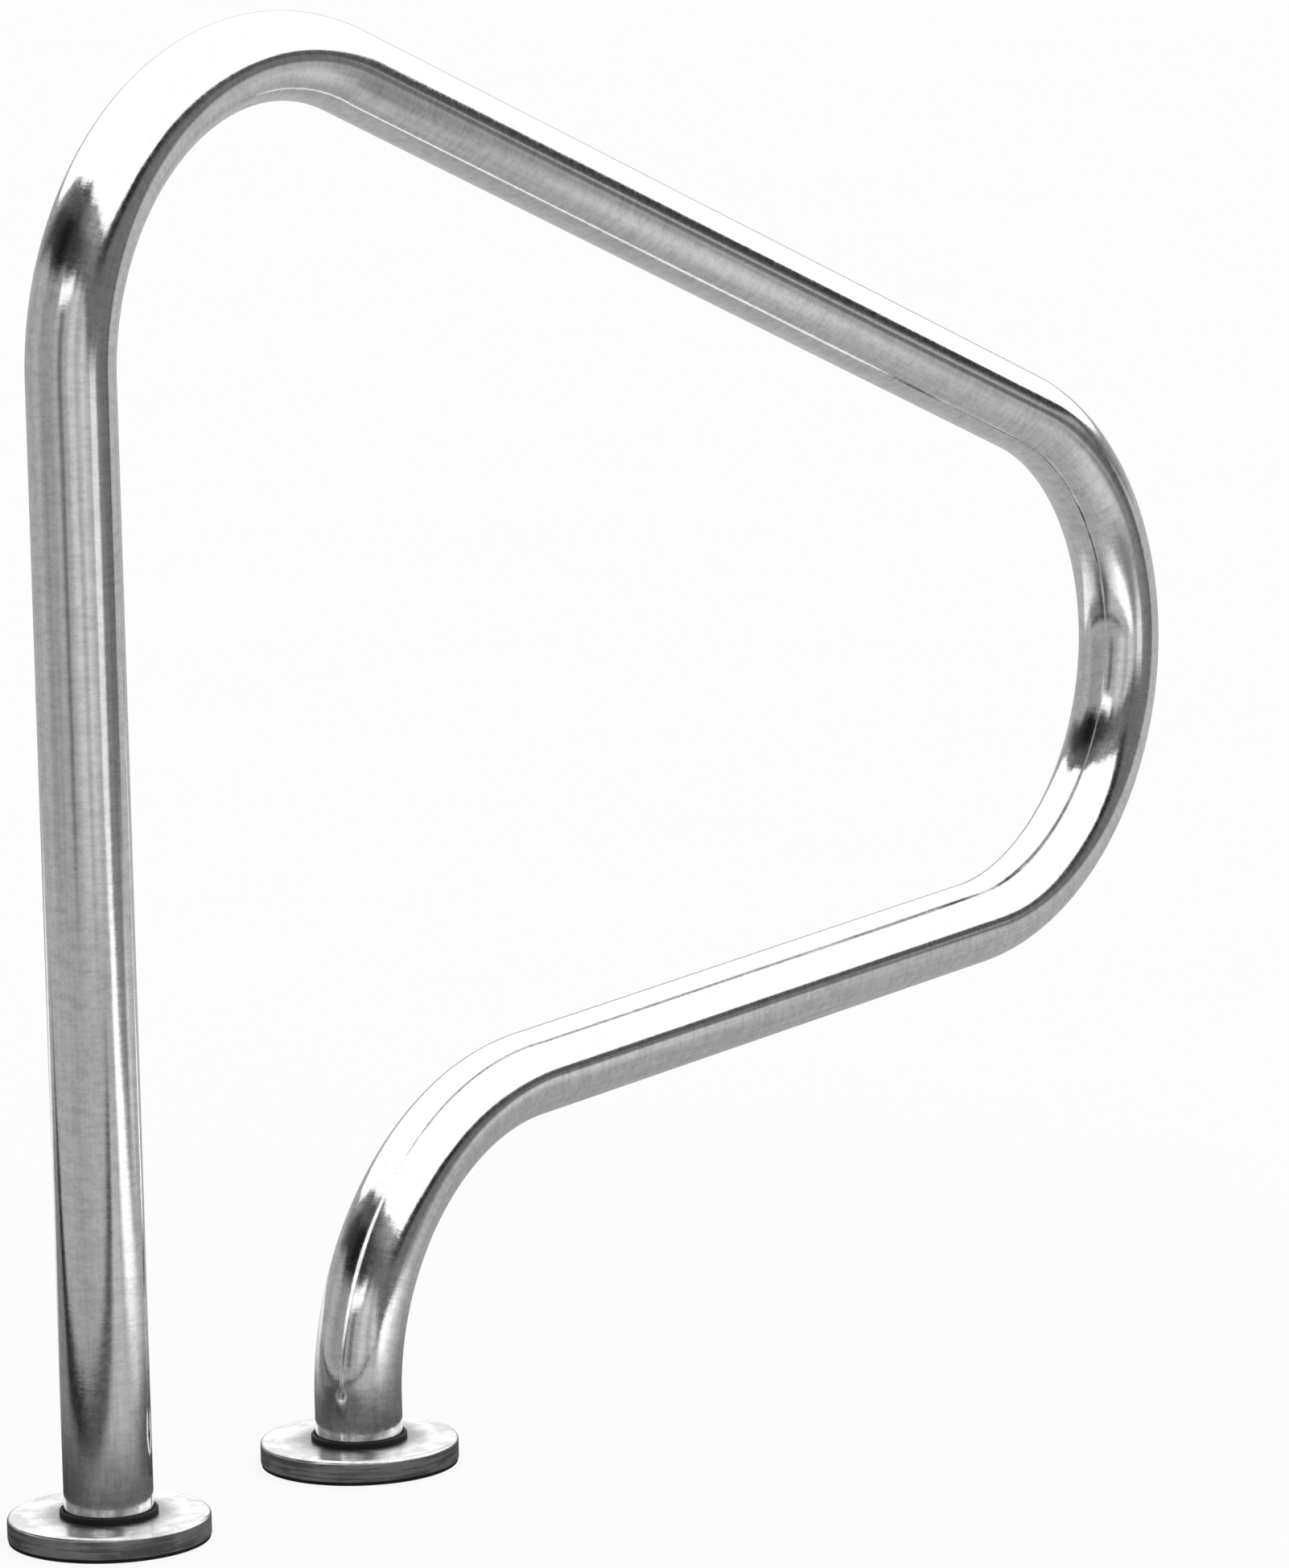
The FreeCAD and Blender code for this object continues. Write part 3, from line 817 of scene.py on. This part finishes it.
def cover_outline(sizes):
    """Across the cover's sheet: up its hole, out over the top, down the skirt and back inside."""
    outer = (COVER_HIGH.x - COVER_LOW.x) / 2
    low, top = COVER_LOW.z, COVER_HIGH.z
    wall, edge = sizes.cover_wall, sizes.cover_edge
    hole = sizes.tube_diameter / 2 + sizes.ring_gap + sizes.ring_neck + COVER_PLAY
    middle = (outer - edge, top - edge)
    return (
        [(hole, top - wall), (hole, top - COVER_LIP), (hole + COVER_LIP, top)]
        + [(hole + HOLE_BORDER, top), ((hole + outer) / 2, top)]
        + arc(middle, edge, 90, 0, COVER_EDGE_STEPS)
        + [(outer, low + COVER_LIP), (outer - COVER_LIP, low)]
        + [(outer - wall + COVER_LIP, low), (outer - wall, low + COVER_LIP)]
        + arc(middle, edge - wall, 0, 90, SMALL_EDGE_STEPS)
    )


def ring_outline(sizes):
    """Across the rubber ring: up beside the tube, over its two lips, and round the groove for the cover."""
    inner = sizes.tube_diameter / 2 + sizes.ring_gap
    outer = (RING_HIGH.x - RING_LOW.x) / 2
    low, top = RING_LOW.z, RING_HIGH.z
    neck, edge = inner + sizes.ring_neck, sizes.ring_edge
    groove_top = COVER_HIGH.z + GROOVE_PLAY
    groove_low = COVER_HIGH.z - sizes.cover_wall - GROOVE_PLAY
    return (
        [(inner, low)]
        + arc((inner + edge, top - edge), edge, 180, 90, SMALL_EDGE_STEPS)
        + arc((outer - edge, top - edge), edge, 90, 0, SMALL_EDGE_STEPS)
        + [(outer, groove_top), (neck, groove_top), (neck, groove_low), (outer, groove_low), (outer, low)]
    )


def turned_piece(name, outline, leg, finish):
    sides = bpy.context.scene.rail_sizes.sides
    return object_from(name, turned_mesh(name, outline, LEG_X[leg], sides, finish_named(finish)))


class HANDRAIL_OT_covers(bpy.types.Operator):
    """Make the two pressed covers and their rubber rings"""

    bl_idname = "handrail.covers"
    bl_label = "Covers and rings"

    def execute(self, context):
        sizes = context.scene.rail_sizes
        for leg in LEGS:
            cover = turned_piece(f"{leg}_pressed_cover", cover_outline(sizes), leg, "pressed_stainless")
            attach(cover, f"{leg}_cover")
            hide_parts(f"{leg}_cover")
            ring = turned_piece(f"{leg}_rubber_ring", ring_outline(sizes), leg, "moulded_rubber")
            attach(ring, f"{leg}_cover_seal")
            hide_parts(f"{leg}_cover_seal")
        return {"FINISHED"}


# ---- hidden fixings ----


class HANDRAIL_OT_fixings(bpy.types.Operator):
    """Finish the gaskets, plates, spigots, screws and anchors"""

    bl_idname = "handrail.fixings"
    bl_label = "Fixings"

    def execute(self, context):
        for leg in LEGS:
            for piece, finish in FIXING_FINISH.items():
                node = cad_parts[f"{leg}_{piece}"]
                for slot in node.material_slots:
                    slot.material = finish_named(finish)
        return {"FINISHED"}


# ---- stage ----


def round_the_compass(nodes, azimuth, stops, scale):
    """A smooth value that follows the compass through (degrees, value) stops, from 0 up to the scale."""
    node = nodes.add("ShaderNodeFloatCurve", {"Value": azimuth})
    points = node.mapping.curves[0].points
    while len(points) < len(stops):
        points.new(0.5, 0.5)
    for point, (degrees, value) in zip(points, stops):
        point.location = (compass_share(degrees), value / scale)
    node.mapping.update()
    return nodes.times(node.outputs[0], scale)


def compass_share(degrees):
    """Compass degrees from -180 to 180 as a share from 0 to 1."""
    return degrees / 360 + 0.5


def surroundings(nodes):
    """The brightness of the surroundings in each direction: a bright sky, a dark band and far ground."""
    direction = nodes.add("ShaderNodeTexCoord").outputs["Generated"]
    axes = nodes.axes(direction)
    elevation = nodes.times(nodes.math("ARCSINE", axes["Z"]), 180 / math.pi)
    turn = nodes.math("ARCTAN2", axes["Y"], axes["X"])
    azimuth = nodes.plus(nodes.times(turn, 0.5 / math.pi), 0.5)
    skyline, band, upper_shade, lower_shade, ground = (
        round_the_compass(nodes, azimuth, stops, scale)
        for stops, scale in (
            (SKYLINE_HEIGHT, HEIGHT_SCALE),
            (BAND_DEPTH, DEPTH_SCALE),
            (UPPER_SHADE, SHADE_SCALE),
            (LOWER_SHADE, SHADE_SCALE),
            (GROUND_SHADE, SHADE_SCALE),
        )
    )
    above = nodes.plus(nodes.minus(elevation, skyline), nodes.wander(direction, 7.0, SKYLINE_WOBBLE))
    depth = nodes.math("DIVIDE", nodes.times(above, -1.0), band)
    wall = nodes.mix(nodes.remap(depth, 0.28, 0.48), upper_shade, lower_shade)
    pale = nodes.times(
        nodes.rise_and_fall(depth, *PALE_WALL_DOWN),
        nodes.rise_and_fall(azimuth, *map(compass_share, PALE_WALL_ROUND)),
    )
    wall = nodes.plus(wall, nodes.times(pale, PALE_WALL_GLOW))
    land = nodes.mix(nodes.remap(depth, 0.85, 1.15), wall, ground)
    opening = nodes.times(
        nodes.rise_and_fall(azimuth, *map(compass_share, OPENING_ROUND)),
        nodes.rise_and_fall(elevation, *OPENING_UP),
    )
    land = nodes.mix(opening, land, OPENING_GLOW)
    land = nodes.times(land, nodes.speckle(direction, 42.0, 5.0, 0.75, 0.38))
    return nodes.mix(nodes.remap(above, -0.5, 0.8), land, SKY_STRENGTH)


def distance_from(nodes, x, y):
    return nodes.math("POWER", nodes.plus(nodes.times(x, x), nodes.times(y, y)), 0.5)


def deck_pattern(nodes, place):
    """The deck's brightness, and the distance from the long leg."""
    shift = nodes.wander(place, 5.0, DECK_WANDER)
    axes = nodes.axes(place)
    x, y = nodes.plus(axes["X"], shift), nodes.plus(axes["Y"], shift)
    beside = nodes.math("ABSOLUTE", y)
    behind = nodes.remap(y, *BEHIND_FEET)
    level = nodes.mix(nodes.remap(x, *DECK_ALONG), *DECK_SHADE)
    for along, reach, shade in DECK_STRIPS:
        share = nodes.times(nodes.rise_and_fall(x, *along), nodes.remap(beside, *reach))
        level = nodes.mix(share, level, nodes.mix(behind, *shade))
    slant = nodes.shares((y, -1.0), (x, -SLANT))
    corner = nodes.times(nodes.remap(slant, *CORNER_SLANT), nodes.remap(x, *CORNER_ALONG))
    level = nodes.mix(corner, level, CORNER_SHADE)
    pale = nodes.times(nodes.rise_and_fall(slant, *PALE_SLANT), nodes.remap(x, *PALE_ALONG))
    level = nodes.mix(pale, level, PALE_SHADE)
    from_long_leg = distance_from(nodes, x, y)
    from_short_leg = distance_from(nodes, nodes.minus(x, LEG_X["short_leg"]), y)
    nearest = nodes.math("MINIMUM", from_long_leg, from_short_leg)
    level = nodes.times(level, nodes.remap(nearest, *FOOT_SHADOW))
    level = nodes.times(level, nodes.remap(beside, *MIDDLE_SHADOW))
    return nodes.times(level, nodes.speckle(place, 26.0, 6.0, 0.8, 0.34)), from_long_leg


def make_world(scene):
    """The surroundings for the metal and the light, and plain white for the camera."""
    world = bpy.data.worlds.new("soft_daylight")
    scene.world = world
    nodes = cleared_nodes(world)
    seen = nodes.add("ShaderNodeLightPath").outputs["Is Camera Ray"]
    level = nodes.mix(seen, surroundings(nodes), BACKDROP_STRENGTH)
    background = nodes.add("ShaderNodeBackground", {"Color": WHITE, "Strength": level})
    nodes.add("ShaderNodeOutputWorld", {"Surface": background.outputs[0]})


def blended(nodes, share, first, second):
    """Puts out a blend of two shaders, by the share of the second."""
    blend = nodes.add("ShaderNodeMixShader", {0: share, 1: first, 2: second}).outputs[0]
    nodes.add("ShaderNodeOutputMaterial", {"Surface": blend})


def white_glow(nodes, strength):
    return nodes.add("ShaderNodeEmission", {"Color": WHITE, "Strength": strength}).outputs[0]


def floor_finish(colours):
    """A pale matt floor, close to the backdrop's white where the camera sees it."""
    material = bpy.data.materials.new("pale_floor")
    nodes = cleared_nodes(material)
    cloud = nodes.noise(nodes.place(), 3.0, 3.0, 0.5)
    matt = nodes.add("ShaderNodeBsdfDiffuse", {"Color": nodes.shade_of(colours.floor, cloud, 0.99, 1.01)})
    seen = nodes.times(nodes.add("ShaderNodeLightPath").outputs["Is Camera Ray"], FLOOR_GLOW)
    blended(nodes, seen, matt.outputs[0], white_glow(nodes, 1.0))
    return material


def deck_finish():
    """What the polished metal shows of the deck; it fades into the far ground."""
    material = bpy.data.materials.new("deck")
    nodes = cleared_nodes(material)
    level, distance = deck_pattern(nodes, nodes.place())
    clear = nodes.add("ShaderNodeBsdfTransparent").outputs[0]
    blended(nodes, nodes.remap(distance, *DECK_FADE), white_glow(nodes, level), clear)
    return material


def flat_square(name, size, material):
    mesh = bpy.data.meshes.new(name)
    work = bmesh.new()
    bmesh.ops.create_grid(work, x_segments=1, y_segments=1, size=size)
    work.to_mesh(mesh)
    work.free()
    mesh.materials.append(material)
    return object_from(name, mesh)


def make_floor(finish):
    """The pale floor that the camera sees, and the deck that only the metal shows."""
    floor = flat_square("floor", FLOOR_SIZE, floor_finish(finish))
    floor.visible_glossy = False
    deck = flat_square("deck", DECK_SIZE, deck_finish())
    deck.visible_camera = False
    deck.visible_diffuse = False
    deck.visible_shadow = False


def make_camera(scene, settings):
    turn, tilt, roll = settings.azimuth, settings.elevation, settings.roll
    forward = Vector((-math.sin(turn) * math.cos(tilt), math.cos(turn) * math.cos(tilt), -math.sin(tilt)))
    right = forward.cross(Vector((0, 0, 1))).normalized()
    up = right.cross(forward)
    rolled_right = right * math.cos(roll) + up * math.sin(roll)
    rolled_up = up * math.cos(roll) - right * math.sin(roll)
    data = bpy.data.cameras.new("camera")
    data.lens = settings.lens
    data.sensor_width = SENSOR_WIDTH
    camera = object_from("camera", data)
    place = Matrix((rolled_right, rolled_up, -forward)).transposed().to_4x4()
    place.translation = Vector(settings.target) - forward * settings.distance
    camera.matrix_world = place
    scene.camera = camera


class HANDRAIL_OT_stage(bpy.types.Operator):
    """Set the floor, the daylight and the camera"""

    bl_idname = "handrail.stage"
    bl_label = "Stage"

    def execute(self, context):
        scene = context.scene
        make_floor(scene.rail_finish)
        make_world(scene)
        make_camera(scene, scene.rail_camera)
        scene.view_settings.view_transform = "Standard"
        return {"FINISHED"}


OPERATORS = (HANDRAIL_OT_tube, HANDRAIL_OT_covers, HANDRAIL_OT_fixings, HANDRAIL_OT_stage)


class HANDRAIL_PT_panel(bpy.types.Panel):
    """Lists the handrail's pieces and sizes"""

    bl_idname = "HANDRAIL_PT_panel"
    bl_label = "Handrail"
    bl_space_type = "VIEW_3D"
    bl_region_type = "UI"
    bl_category = "Handrail"

    def draw(self, context):
        layout = self.layout
        for operator in OPERATORS:
            layout.operator(operator.bl_idname)
        for group in (context.scene.rail_sizes, context.scene.rail_finish, context.scene.rail_camera):
            column = layout.column()
            for name in group.bl_rna.properties.keys():
                if name not in ("rna_type", "name"):
                    column.prop(group, name)


CLASSES = (RailSizes, RailFinish, RailCamera, *OPERATORS, HANDRAIL_PT_panel)


def register():
    for cls in CLASSES:
        bpy.utils.register_class(cls)
    bpy.types.Scene.rail_sizes = bpy.props.PointerProperty(type=RailSizes)
    bpy.types.Scene.rail_finish = bpy.props.PointerProperty(type=RailFinish)
    bpy.types.Scene.rail_camera = bpy.props.PointerProperty(type=RailCamera)


def unregister():
    del bpy.types.Scene.rail_camera
    del bpy.types.Scene.rail_finish
    del bpy.types.Scene.rail_sizes
    for cls in reversed(CLASSES):
        bpy.utils.unregister_class(cls)


def main():
    register()
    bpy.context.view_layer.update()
    bpy.ops.handrail.tube()
    bpy.ops.handrail.covers()
    bpy.ops.handrail.fixings()
    bpy.ops.handrail.stage()


if __name__ == "__main__":
    main()
